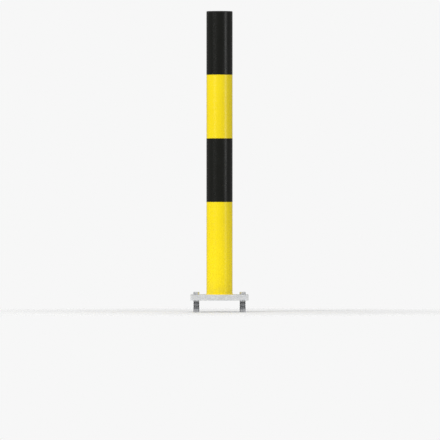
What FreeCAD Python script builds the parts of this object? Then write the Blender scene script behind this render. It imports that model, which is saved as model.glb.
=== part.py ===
import FreeCAD, Part

import math
import os

# Surface-mounted steel bollard: a capped tube with two film bands, welded to a
# base plate held down by four bolts in expanding shield anchors. Millimetres.
# Origin at the centre of the base plate's underside (ground level), +Z up the
# post, -Y the front, +X to the right seen from the front.

Vector = FreeCAD.Vector
ORIGIN = Vector(0, 0, 0)
Z_AXIS = Vector(0, 0, 1)

TOTAL_H = 1000.0          # ground to the top of the cap
EDGE_BREAK = 0.4          # broken edges on cut steel
OVERRUN = 1.0             # cutters run this far past the faces they cut

# Base plate
PLATE_W = 200.0
PLATE_T = 20.0
PLATE_CORNER_R = 6.0
PLATE_CHAMFER = 1.0
HOLE_PITCH = 160.0        # fixing holes, square pattern
HOLE_R = 7.0              # clearance for an M12 bolt
RELIEF_R = 12.0           # shallow relief under each hole, clears the anchor mouth
RELIEF_T = 1.5
DRAIN_R = 15.0            # central vent and drain hole

# Plug-in end cap; fin depths are below the underside of the flange
CAP_FLANGE_T = 4.0
CAP_EDGE_R = 1.2
CAP_PLUG_DEPTH = 28.0
CAP_SKIRT_R = 39.4
CAP_SKIRT_WALL = 2.4
CAP_SKIRT_CHAMFER_W = 1.0
CAP_SKIRT_CHAMFER_H = 2.0
CAP_FIN_DEPTHS = (5.0, 12.0, 19.0)
CAP_FIN_T = 1.3           # at the skirt
CAP_FIN_TOP_DROP = 0.2    # slope of the fin's upper face
CAP_FIN_BOTTOM_RISE = 0.3  # slope of the fin's lower face
CAP_FIN_CLEAR = 0.02      # fins to the bore of the tube
CAP_WEB_T = 2.0
CAP_WEB_RECESS = 4.0      # webs stop short of the skirt's lower end
CAP_WEB_OVERLAP = 0.5     # webs run into the skirt

# Post tube and the fillet weld round its foot
POST_R = 45.0
POST_WALL = 4.0
BORE_R = POST_R - POST_WALL
TUBE_BOTTOM = PLATE_T
TUBE_TOP = TOTAL_H - CAP_FLANGE_T
WELD_LEG = 3.5
WELD_BULGE = 0.56         # middle of the weld face, as a share of the leg

# Self-adhesive film bands
BAND_H = 220.0            # height of one colour field
BAND_T = 0.2
BAND_GAP = 0.02           # adhesive line between film and tube
BAND_LAP_DEG = 14.0       # overlap of the film at the back
BANDS = {                 # name: (bottom, top)
    "black_band_top": (TOTAL_H - BAND_H, TUBE_TOP),
    "black_band_lower": (TOTAL_H - 3 * BAND_H, TOTAL_H - 2 * BAND_H),
}

# Toothed lock washer
WASHER_INNER_R = 6.5
WASHER_OUTER_R = 10.25
WASHER_T = 1.0
WASHER_TEETH = 12
TOOTH_SLOT_W = 1.5
TOOTH_SLOT_DEPTH = 2.2

# M12 x 60 hexagon bolt
BOLT_R = 6.0
BOLT_L = 60.0
BOLT_TIP_CHAMFER = 1.2
HEAD_ACROSS_FLATS = 18.0
HEAD_H = 7.5
HEAD_Z = PLATE_T + WASHER_T
HEAD_TOP_RATIO = 0.95     # flat top's diameter to the width across flats
HEAD_CHAMFER_DEG = 30
CROWN_MARGIN = 0.5        # trimming cone reaches this far past the corners

# Expanding shield anchor, its mouth at ground level
SHIELD_R = 10.0
SHIELD_DEPTH = 40.0       # mouth to the bottom of the wedge nut
SHIELD_BORE_R = 6.5
SHIELD_BORE_TAPER_H = 1.2  # from the conical seat up to the bore
SHIELD_SLOT_W = 2.4       # gap between neighbouring segments
SEAT_TOP_RISE = 1.0       # conical seat runs this far above the nut
RIB_PITCH = 7.0
RIB_FIRST_H = 2.6         # rib between the collar and the first groove
RIB_LAST_H = 1.5          # least height left below the last groove
RIB_GROOVE_W = 3.0
RIB_GROOVE_DEPTH = 1.1
RIB_GROOVE_SLOPE = 0.3    # height of each sloping groove side
COLLAR_H = 3.6            # pressed collar that holds the segments at the mouth
COLLAR_WALL = 0.8
COLLAR_CHAMFER = 0.3
COLLAR_SIDE_CLEAR = 0.05
COLLAR_END_CLEAR = 0.02
SPRING_WIRE_R = 0.5       # open wire ring round the segments
SPRING_CLEAR = 0.02
SPRING_GAP_DEG = 24.0

# Wedge nut at the bottom of the anchor
NUT_BASE_H = 9.4          # plain lower end
NUT_CHAMFER = 1.5
NUT_BORE_R = BOLT_R + 0.05
NUT_BORE_CHAMFER = 0.6
NUT_CONE_BASE_R = 9.0
NUT_CONE_TOP_R = 7.4
NUT_BASE_Z = -SHIELD_DEPTH + NUT_BASE_H
NUT_TOP_Z = -20.0
NUT_CLEAR = 0.05          # nut to segments, on the cone and on the shoulder
NUT_KEY_W = 2.0           # keys in the shield's slots, stop the nut turning
NUT_KEY_ROOT_R = NUT_BORE_R + 0.6
NUT_KEY_R = 9.2
NUT_KEY_TOP_Z = -25.0
NUT_KEY_SINK = 1.0        # keys start this far below the top of the plain end
NUT_KEY_BEVEL_W = 1.2
NUT_KEY_BEVEL_H = 1.6

HALF_PITCH = HOLE_PITCH / 2
ANCHORS = {
    "front_left": (-HALF_PITCH, -HALF_PITCH),
    "front_right": (HALF_PITCH, -HALF_PITCH),
    "back_left": (-HALF_PITCH, HALF_PITCH),
    "back_right": (HALF_PITCH, HALF_PITCH),
}


# Helpers
def profile_lines(points):
    """Straight edges through (radius, height) points in the XZ plane."""
    corners = [Vector(x, 0, z) for x, z in points]
    return [Part.makeLine(start, end) for start, end in zip(corners, corners[1:])]


def profile_arc(*points):
    return Part.Arc(*[Vector(x, 0, z) for x, z in points]).toShape()


def profile_face(points):
    """Face inside a (radius, height) outline, which is closed here."""
    corners = [Vector(x, 0, z) for x, z in points]
    return Part.Face(Part.makePolygon(corners + corners[:1]))


def spin(face, angle=360):
    return face.revolve(ORIGIN, Z_AXIS, angle)


def lathe(points):
    return spin(profile_face(points))


def tube(outer_r, inner_r, bottom, top):
    return lathe([(inner_r, bottom), (outer_r, bottom), (outer_r, top), (inner_r, top)])


def turned(shape, angle):
    """The shape itself, turned in place about Z."""
    shape.rotate(ORIGIN, Z_AXIS, angle)
    return shape


def one_solid(shape, name):
    solids = shape.Solids
    if len(solids) != 1 or not solids[0].isValid():
        raise RuntimeError(f"{name}: {len(solids)} solids")
    return solids[0]


def export(shape, name):
    shape.exportStep(f"parts/{name}.step")


# Post and base plate
def is_upright(edge):
    start, end = edge.Vertexes[0], edge.Vertexes[1]
    return abs(start.X - end.X) < 1e-6 and abs(start.Y - end.Y) < 1e-6


def is_level(edge):
    return all(abs(vertex.Z - edge.Vertexes[0].Z) < 1e-6 for vertex in edge.Vertexes)


def make_base_plate():
    corner = Vector(-PLATE_W / 2, -PLATE_W / 2, 0)
    plate = Part.makeBox(PLATE_W, PLATE_W, PLATE_T, corner)
    plate = plate.makeFillet(PLATE_CORNER_R, [e for e in plate.Edges if is_upright(e)])
    plate = plate.makeChamfer(PLATE_CHAMFER, [e for e in plate.Edges if is_level(e)])
    for x, y in ANCHORS.values():
        hole = lathe([
            (0, -OVERRUN),
            (RELIEF_R, -OVERRUN),
            (RELIEF_R, RELIEF_T),
            (HOLE_R, RELIEF_T),
            (HOLE_R, PLATE_T - EDGE_BREAK),
            (HOLE_R + EDGE_BREAK, PLATE_T),
            (HOLE_R + EDGE_BREAK, PLATE_T + OVERRUN),
            (0, PLATE_T + OVERRUN),
        ])
        hole.translate(Vector(x, y, 0))
        plate = plate.cut(hole)
    drain = lathe([
        (0, -OVERRUN),
        (DRAIN_R + EDGE_BREAK, -OVERRUN),
        (DRAIN_R + EDGE_BREAK, 0),
        (DRAIN_R, EDGE_BREAK),
        (DRAIN_R, PLATE_T + OVERRUN),
        (0, PLATE_T + OVERRUN),
    ])
    return one_solid(plate.cut(drain), "base_plate")


def make_post_tube():
    return lathe([
        (BORE_R, TUBE_BOTTOM),
        (POST_R, TUBE_BOTTOM),
        (POST_R, TUBE_TOP - EDGE_BREAK),
        (POST_R - EDGE_BREAK, TUBE_TOP),
        (BORE_R + EDGE_BREAK, TUBE_TOP),
        (BORE_R, TUBE_TOP - EDGE_BREAK),
    ])


def make_foot_weld():
    """Fillet weld with a slightly convex face."""
    root = (POST_R, TUBE_BOTTOM)
    toe = (POST_R + WELD_LEG, TUBE_BOTTOM)
    top = (POST_R, TUBE_BOTTOM + WELD_LEG)
    bulge = WELD_LEG * WELD_BULGE
    middle = (POST_R + bulge, TUBE_BOTTOM + bulge)
    edges = profile_lines([root, toe]) + [profile_arc(toe, middle, top)]
    edges += profile_lines([top, root])
    return spin(Part.Face(Part.Wire(edges)))


def make_post_cap():
    """Flange with a rounded rim, on a finned skirt stiffened by two crossed webs."""
    seat = TUBE_TOP
    bottom = seat - CAP_PLUG_DEPTH
    inner_r = CAP_SKIRT_R - CAP_SKIRT_WALL
    fin_r = BORE_R - CAP_FIN_CLEAR

    round_start = (POST_R - CAP_EDGE_R, TOTAL_H)
    round_end = (POST_R, TOTAL_H - CAP_EDGE_R)
    inset = CAP_EDGE_R * (1 - math.sqrt(0.5))
    round_middle = (POST_R - inset, TOTAL_H - inset)

    outline = [round_end, (POST_R, seat), (CAP_SKIRT_R, seat)]
    for depth in CAP_FIN_DEPTHS:
        z = seat - depth
        outline += [
            (CAP_SKIRT_R, z),
            (fin_r, z - CAP_FIN_TOP_DROP),
            (fin_r, z - CAP_FIN_T + CAP_FIN_BOTTOM_RISE),
            (CAP_SKIRT_R, z - CAP_FIN_T),
        ]
    outline += [
        (CAP_SKIRT_R, bottom + CAP_SKIRT_CHAMFER_H),
        (CAP_SKIRT_R - CAP_SKIRT_CHAMFER_W, bottom),
        (inner_r, bottom),
        (inner_r, seat),
        (0, seat),
        (0, TOTAL_H),
    ]
    edges = profile_lines([(0, TOTAL_H), round_start])
    edges.append(profile_arc(round_start, round_middle, round_end))
    edges += profile_lines(outline)
    cap = spin(Part.Face(Part.Wire(edges)))

    reach = inner_r + CAP_WEB_OVERLAP
    for angle in (0, 90):
        web = Part.makeBox(
            2 * reach,
            CAP_WEB_T,
            CAP_PLUG_DEPTH - CAP_WEB_RECESS,
            Vector(-reach, -CAP_WEB_T / 2, bottom + CAP_WEB_RECESS),
        )
        cap = cap.fuse(turned(web, angle))
    return one_solid(cap.removeSplitter(), "post_cap")


def make_band(bottom, top, name):
    """Film wrapped once round the tube, with its end lapped over its start."""
    inner_r = POST_R + BAND_GAP
    height = top - bottom
    base = Vector(0, 0, bottom)
    wrap = tube(inner_r + BAND_T, inner_r, bottom, top)
    lap = Part.makeCylinder(inner_r + 2 * BAND_T, height, base, Z_AXIS, BAND_LAP_DEG)
    lap = turned(lap, 90 - BAND_LAP_DEG / 2)
    # The lap starts halfway through the wrap, so that the two overlap.
    lap = lap.cut(Part.makeCylinder(inner_r + BAND_T / 2, height, base))
    return one_solid(wrap.fuse(lap).removeSplitter(), name)


# Anchor pieces, built on the Z axis
def make_bolt():
    tip = HEAD_Z - BOLT_L
    shank = lathe([
        (0, tip),
        (BOLT_R - BOLT_TIP_CHAMFER, tip),
        (BOLT_R, tip + BOLT_TIP_CHAMFER),
        (BOLT_R, HEAD_Z + 1),
        (0, HEAD_Z + 1),
    ])
    corner_r = HEAD_ACROSS_FLATS / math.sqrt(3)
    corners = []
    for i in range(6):
        angle = math.radians(60 * i)
        x, y = corner_r * math.cos(angle), corner_r * math.sin(angle)
        corners.append(Vector(x, y, HEAD_Z))
    hexagon = Part.Face(Part.makePolygon(corners + corners[:1]))
    head = hexagon.extrude(Vector(0, 0, HEAD_H))

    # A coned blank trims the upper corners of the head.
    blank_r = corner_r + CROWN_MARGIN
    flat_r = HEAD_ACROSS_FLATS / 2 * HEAD_TOP_RATIO
    drop = (blank_r - flat_r) * math.tan(math.radians(HEAD_CHAMFER_DEG))
    head = head.common(lathe([
        (0, HEAD_Z - OVERRUN),
        (blank_r, HEAD_Z - OVERRUN),
        (blank_r, HEAD_Z + HEAD_H - drop),
        (flat_r, HEAD_Z + HEAD_H),
        (0, HEAD_Z + HEAD_H),
    ]))
    return one_solid(head.fuse(shank).removeSplitter(), "anchor_bolt")


def make_lock_washer():
    ring = tube(WASHER_OUTER_R, WASHER_INNER_R, PLATE_T, PLATE_T + WASHER_T)
    for i in range(WASHER_TEETH):
        slot = Part.makeBox(
            TOOTH_SLOT_DEPTH + OVERRUN,
            TOOTH_SLOT_W,
            WASHER_T + 2 * OVERRUN,
            Vector(WASHER_OUTER_R - TOOTH_SLOT_DEPTH, -TOOTH_SLOT_W / 2, PLATE_T - OVERRUN),
        )
        ring = ring.cut(turned(slot, 360.0 / WASHER_TEETH * (i + 0.5)))
    return one_solid(ring, "lock_washer")


def groove_tops():
    """Heights of the upper edges of the grooves round the shield."""
    z = -COLLAR_H - RIB_FIRST_H
    heights = []
    while z - RIB_GROOVE_W > NUT_BASE_Z + RIB_LAST_H:
        heights.append(z)
        z -= RIB_PITCH
    return heights


def cone_radius(z):
    """Radius of the wedge nut's cone, also extended above its top."""
    share = (z - NUT_BASE_Z) / (NUT_TOP_Z - NUT_BASE_Z)
    return NUT_CONE_BASE_R + share * (NUT_CONE_TOP_R - NUT_CONE_BASE_R)


def make_shield_segments():
    """Four loose segments parted on the diagonals, counter-clockwise from the back one."""
    neck_r = SHIELD_R - COLLAR_WALL - COLLAR_SIDE_CLEAR
    groove_r = SHIELD_R - RIB_GROOVE_DEPTH
    seat_top = NUT_TOP_Z + SEAT_TOP_RISE
    outline = [(SHIELD_BORE_R, 0), (neck_r, 0), (neck_r, -COLLAR_H), (SHIELD_R, -COLLAR_H)]
    for z in groove_tops():
        outline += [
            (SHIELD_R, z),
            (groove_r, z - RIB_GROOVE_SLOPE),
            (groove_r, z - RIB_GROOVE_W + RIB_GROOVE_SLOPE),
            (SHIELD_R, z - RIB_GROOVE_W),
        ]
    outline += [
        (SHIELD_R, NUT_BASE_Z),
        (NUT_CONE_BASE_R + NUT_CLEAR, NUT_BASE_Z),
        (cone_radius(seat_top) + NUT_CLEAR, seat_top),
        (SHIELD_BORE_R, seat_top + SHIELD_BORE_TAPER_H),
    ]
    body = lathe(outline)
    for angle in (45, 135):
        saw = Part.makeBox(
            3 * SHIELD_R,
            SHIELD_SLOT_W,
            SHIELD_DEPTH + 2 * OVERRUN,
            Vector(-1.5 * SHIELD_R, -SHIELD_SLOT_W / 2, -SHIELD_DEPTH),
        )
        body = body.cut(turned(saw, angle))
    if len(body.Solids) != 4:
        raise RuntimeError(f"shield segments: {len(body.Solids)} solids")

    def turn_from_back(solid):
        centre = solid.CenterOfMass
        return (math.degrees(math.atan2(centre.y, centre.x)) - 45) % 360

    return sorted(body.Solids, key=turn_from_back)


def make_shield_collar():
    inner_r = SHIELD_R - COLLAR_WALL
    bottom = -COLLAR_H + COLLAR_END_CLEAR
    return lathe([
        (inner_r, 0),
        (SHIELD_R - COLLAR_CHAMFER, 0),
        (SHIELD_R, -COLLAR_CHAMFER),
        (SHIELD_R, bottom),
        (inner_r, bottom),
    ])


def make_spring_ring():
    """Open wire ring in the shield's second groove, its gap at the back."""
    ring_r = SHIELD_R - RIB_GROOVE_DEPTH + SPRING_WIRE_R + SPRING_CLEAR
    z = groove_tops()[1] - RIB_GROOVE_W / 2
    circle = Part.makeCircle(SPRING_WIRE_R, Vector(ring_r, 0, z), Vector(0, 1, 0))
    ring = spin(Part.Face(Part.Wire(circle)), 360 - SPRING_GAP_DEG)
    return one_solid(turned(ring, 90 + SPRING_GAP_DEG / 2), "spring_ring")


def make_wedge_nut():
    shoulder = NUT_BASE_Z - NUT_CLEAR
    nut = lathe([
        (NUT_BORE_R + NUT_BORE_CHAMFER, -SHIELD_DEPTH),
        (SHIELD_R - NUT_CHAMFER, -SHIELD_DEPTH),
        (SHIELD_R, -SHIELD_DEPTH + NUT_CHAMFER),
        (SHIELD_R, shoulder),
        (NUT_CONE_BASE_R, shoulder),
        (NUT_CONE_TOP_R, NUT_TOP_Z),
        (NUT_BORE_R, NUT_TOP_Z),
        (NUT_BORE_R, -SHIELD_DEPTH + NUT_BORE_CHAMFER),
    ])
    key_side = profile_face([
        (NUT_KEY_ROOT_R, NUT_BASE_Z - NUT_KEY_SINK),
        (NUT_KEY_R, NUT_BASE_Z - NUT_KEY_SINK),
        (NUT_KEY_R, NUT_KEY_TOP_Z - NUT_KEY_BEVEL_H),
        (NUT_KEY_R - NUT_KEY_BEVEL_W, NUT_KEY_TOP_Z),
        (NUT_KEY_ROOT_R, NUT_KEY_TOP_Z),
    ])
    key = key_side.extrude(Vector(0, NUT_KEY_W, 0))
    key.translate(Vector(0, -NUT_KEY_W / 2, 0))
    for angle in (45, 135, 225, 315):
        nut = nut.fuse(turned(key.copy(), angle))
    return one_solid(nut.removeSplitter(), "wedge_nut")


def main():
    os.makedirs("parts", exist_ok=True)
    export(make_base_plate(), "base_plate")
    export(make_post_tube(), "post_tube")
    export(make_foot_weld(), "foot_weld")
    export(make_post_cap(), "post_cap")
    for name, (bottom, top) in BANDS.items():
        export(make_band(bottom, top, name), name)

    pieces = {
        "anchor_bolt": make_bolt(),
        "lock_washer": make_lock_washer(),
        "shield_collar": make_shield_collar(),
        "shield_spring_ring": make_spring_ring(),
        "wedge_nut": make_wedge_nut(),
    }
    for number, segment in enumerate(make_shield_segments(), 1):
        pieces[f"shield_segment_{number}"] = segment
    for corner, (x, y) in ANCHORS.items():
        for kind, shape in pieces.items():
            placed = shape.copy()
            placed.translate(Vector(x, y, 0))
            export(placed, f"{kind}_{corner}")


main()
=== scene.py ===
# A yellow tubular bollard with two black film bands and a plug-in cap, welded to a square
# galvanised plate that is held by four shield anchors. The post stands on the Z axis,
# +Z is up, the front faces -Y and +X is right. The plate's top is where the anchors' heads sit.
import math
from functools import cached_property

import bmesh
import bpy
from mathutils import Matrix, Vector, noise


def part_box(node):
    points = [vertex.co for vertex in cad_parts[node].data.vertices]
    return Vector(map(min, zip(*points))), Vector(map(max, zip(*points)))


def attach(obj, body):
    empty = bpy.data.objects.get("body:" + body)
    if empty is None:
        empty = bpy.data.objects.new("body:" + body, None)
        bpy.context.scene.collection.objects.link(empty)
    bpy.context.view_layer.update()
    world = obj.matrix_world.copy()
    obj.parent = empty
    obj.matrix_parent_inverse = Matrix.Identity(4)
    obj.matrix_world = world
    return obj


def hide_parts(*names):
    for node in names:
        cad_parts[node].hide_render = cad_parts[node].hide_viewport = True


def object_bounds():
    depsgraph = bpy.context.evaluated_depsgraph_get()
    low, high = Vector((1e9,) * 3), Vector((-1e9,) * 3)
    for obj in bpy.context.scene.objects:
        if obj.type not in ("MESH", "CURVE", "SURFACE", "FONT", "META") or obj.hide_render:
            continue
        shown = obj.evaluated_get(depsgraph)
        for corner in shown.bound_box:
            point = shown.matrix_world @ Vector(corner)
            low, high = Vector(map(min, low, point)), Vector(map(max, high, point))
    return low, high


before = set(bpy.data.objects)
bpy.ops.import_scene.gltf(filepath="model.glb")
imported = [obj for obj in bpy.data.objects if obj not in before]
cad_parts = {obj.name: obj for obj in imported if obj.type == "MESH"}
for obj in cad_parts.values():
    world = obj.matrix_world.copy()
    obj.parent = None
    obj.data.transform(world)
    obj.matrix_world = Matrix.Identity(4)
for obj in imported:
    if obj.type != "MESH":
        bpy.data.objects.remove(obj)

CAD_LO, CAD_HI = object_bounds()
scene = bpy.context.scene

MM = 1000.0  # millimetres in a metre; shapes are built in millimetres
TAU = 2 * math.pi
CORNERS = ("front_left", "front_right", "back_left", "back_right")
POST_RADIUS = 45.0
ANCHOR_AT = 80.0  # distance of each anchor's axis from the post's, along X and along Y


def box_mm(node):
    low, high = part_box(node)
    return low * MM, high * MM


def smooth(share):
    share = min(1.0, max(0.0, share))
    return share * share * (3 - 2 * share)


def ripple(x, y, z):
    """Fractal noise about zero."""
    fractal_dimension, lacunarity, octaves = 0.6, 2.1, 3
    return noise.fractal(Vector((x, y, z)), fractal_dimension, lacunarity, octaves)


def full_turn(count):
    return [TAU * i / count for i in range(count)]


# ------------------------------------------------------------ mesh building
class Shape:
    """A mesh in millimetres about a vertical axis, with a wear value at each vertex."""

    def __init__(self, centre=(0.0, 0.0)):
        self.centre_x, self.centre_y = centre
        self.verts, self.wear, self.faces = [], [], []

    def point(self, x, y, z, wear=0.0):
        self.verts.append((x + self.centre_x, y + self.centre_y, z))
        self.wear.append(wear)
        return len(self.verts) - 1

    def polar(self, radius, angle, z, wear=0.0):
        return self.point(radius * math.cos(angle), radius * math.sin(angle), z, wear)

    def ring(self, radius, z, wear, angles):
        return [self.polar(radius, angle, z, wear) for angle in angles]

    def strip(self, first, second, around=True):
        """Faces between two rows of points; a row of one point is a pole."""
        count = max(len(first), len(second))
        for i in range(count if around else count - 1):
            j = (i + 1) % count
            if len(first) == 1:
                self.faces.append((first[0], second[j], second[i]))
            elif len(second) == 1:
                self.faces.append((first[i], first[j], second[0]))
            else:
                self.faces.append((first[i], first[j], second[j], second[i]))

    def skin(self, rows, around=True, loop=False):
        """Strips between rows; around closes each row, loop joins the last row to the first."""
        for first, second in zip(rows, rows[1:]):
            self.strip(first, second, around)
        if loop:
            self.strip(rows[-1], rows[0], around)

    def lathe(self, outline, segments, loop=False):
        """Turns (radius, height, wear) points round the axis."""
        angles = full_turn(segments)
        rows = []
        for radius, z, wear in outline:
            if radius < 1e-6:
                rows.append([self.point(0, 0, z, wear)])
            else:
                rows.append(self.ring(radius, z, wear, angles))
        self.skin(rows, loop=loop)

    def mesh(self, name, material, sharp=33.0, merge=2e-6):
        """Makes the object; sharp is in degrees, merge in metres."""
        bm = bmesh.new()
        layer = bm.verts.layers.float.new("edge")
        made = []
        for (x, y, z), wear in zip(self.verts, self.wear):
            vert = bm.verts.new((x / MM, y / MM, z / MM))
            vert[layer] = wear
            made.append(vert)
        for face in self.faces:
            # bmesh refuses a face that exists already or uses a vertex twice
            try:
                bm.faces.new([made[i] for i in face])
            except ValueError:
                pass
        bmesh.ops.remove_doubles(bm, verts=bm.verts, dist=merge)
        bmesh.ops.dissolve_degenerate(bm, edges=bm.edges, dist=1e-7)
        bmesh.ops.recalc_face_normals(bm, faces=bm.faces)
        if bm.calc_volume(signed=True) < 0:
            bmesh.ops.reverse_faces(bm, faces=bm.faces)
        mesh = bpy.data.meshes.new(name)
        bm.to_mesh(mesh)
        bm.free()
        shade(mesh, sharp)
        mesh.materials.append(material)
        piece = bpy.data.objects.new(name, mesh)
        scene.collection.objects.link(piece)
        return piece

    def build(self, name, body, node, slot, sharp=33.0, merge=2e-6, fuse=()):
        """Makes the object, unites the shapes in fuse with it, hangs it on its body and hides the
        CAD piece.
        """
        material = MATERIALS[slot]
        piece = self.mesh(name, material, sharp, merge)
        if fuse:
            unite(piece, [
                part.mesh(f"{name}_part_{i}", material) for i, part in enumerate(fuse)
            ], sharp)
        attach(piece, body)
        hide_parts(node)


def shade(mesh, sharp):
    mesh.shade_smooth()
    mesh.set_sharp_from_angle(angle=math.radians(sharp))


def unite(piece, parts, sharp):
    """Unites closed shells with the piece, so that it is one skin without walls inside it."""
    for part in parts:
        union = piece.modifiers.new("fuse", "BOOLEAN")
        union.operation = "UNION"
        union.solver = "EXACT"
        union.object = part
    graph = bpy.context.evaluated_depsgraph_get()
    mesh = bpy.data.meshes.new_from_object(piece.evaluated_get(graph), depsgraph=graph)
    old = piece.data
    piece.modifiers.clear()
    piece.data = mesh
    mesh.name = old.name + "_fused"
    bpy.data.meshes.remove(old)
    for part in parts:
        data = part.data
        bpy.data.objects.remove(part)
        bpy.data.meshes.remove(data)
    bm = bmesh.new()
    bm.from_mesh(mesh)
    bmesh.ops.remove_doubles(bm, verts=bm.verts, dist=1e-7)
    bmesh.ops.dissolve_degenerate(bm, edges=bm.edges, dist=1e-8)
    bm.to_mesh(mesh)
    bm.free()
    shade(mesh, sharp)


def soften(points, loop=False, support=1.2, steps=4):
    """Rounds the corners of a (radius, height, corner radius) outline.

    Gives (radius, height, wear) points, with wear 1 on the rounded corners. Where there is
    room, a plain point lies the support distance before and after each corner.
    """
    count = len(points)
    out = []
    for i, (x, z, rounding) in enumerate(points):
        if rounding <= 0 or (not loop and i in (0, count - 1)):
            out.append((x, z, 0.0))
            continue
        tip = Vector((x, z))
        before = Vector(points[i - 1][:2]) - tip
        after = Vector(points[(i + 1) % count][:2]) - tip
        room_before, room_after = before.length, after.length
        before.normalize()
        after.normalize()
        half = before.angle(after) / 2
        if half < 1e-3 or half > math.pi / 2 - 1e-3:
            # a straight line or a fold has no arc
            out.append((x, z, 0.0))
            continue
        reach = min(rounding / math.tan(half), 0.45 * room_before, 0.45 * room_after)
        rounding = reach * math.tan(half)
        centre = tip + (before + after).normalized() * (rounding / math.sin(half))
        start = tip + before * reach - centre
        stop = tip + after * reach - centre
        turn = start.angle_signed(stop)
        if room_before > 2 * (reach + support):
            out.append((*(tip + before * (reach + support)), 0.0))
        for k in range(steps + 1):
            angle = -turn * k / steps
            cos, sin = math.cos(angle), math.sin(angle)
            arc = Vector((start.x * cos - start.y * sin, start.x * sin + start.y * cos)) + centre
            out.append((arc.x, arc.y, 1.0))
        if room_after > 2 * (reach + support):
            out.append((*(tip + after * (reach + support)), 0.0))
    return out


# ------------------------------------------------------------- material kit
class Nodes:
    """Makes the nodes of one shader tree. Arguments may be numbers or sockets."""

    def __init__(self, tree):
        self.tree = tree

    def put(self, socket, value):
        if isinstance(value, bpy.types.NodeSocket):
            self.tree.links.new(value, socket)
        elif socket.type == "RGBA" and isinstance(value, tuple):
            socket.default_value = (*value, 1.0)
        else:
            socket.default_value = value

    def node(self, kind, sockets=None, **settings):
        """A shader node; sockets maps input names or numbers to what goes in."""
        made = self.tree.nodes.new("ShaderNode" + kind)
        for key, value in settings.items():
            setattr(made, key, value)
        for key, value in (sockets or {}).items():
            self.put(made.inputs[key], value)
        return made

    def ramp(self, value, start, end, low=0.0, high=1.0, linear=False):
        """Goes from low to high while the value goes from start to end."""
        sockets = {
            "Value": value, "From Min": start, "From Max": end, "To Min": low, "To Max": high,
        }
        kind = "LINEAR" if linear else "SMOOTHSTEP"
        return self.node("MapRange", sockets, interpolation_type=kind).outputs[0]

    def fall(self, value, start, end):
        return self.ramp(value, start, end, low=1.0, high=0.0)

    def blend(self, share, first, second):
        """Mixes two numbers."""
        sockets = {0: share, 2: first, 3: second}
        return self.node("Mix", sockets, data_type="FLOAT").outputs[0]


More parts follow.
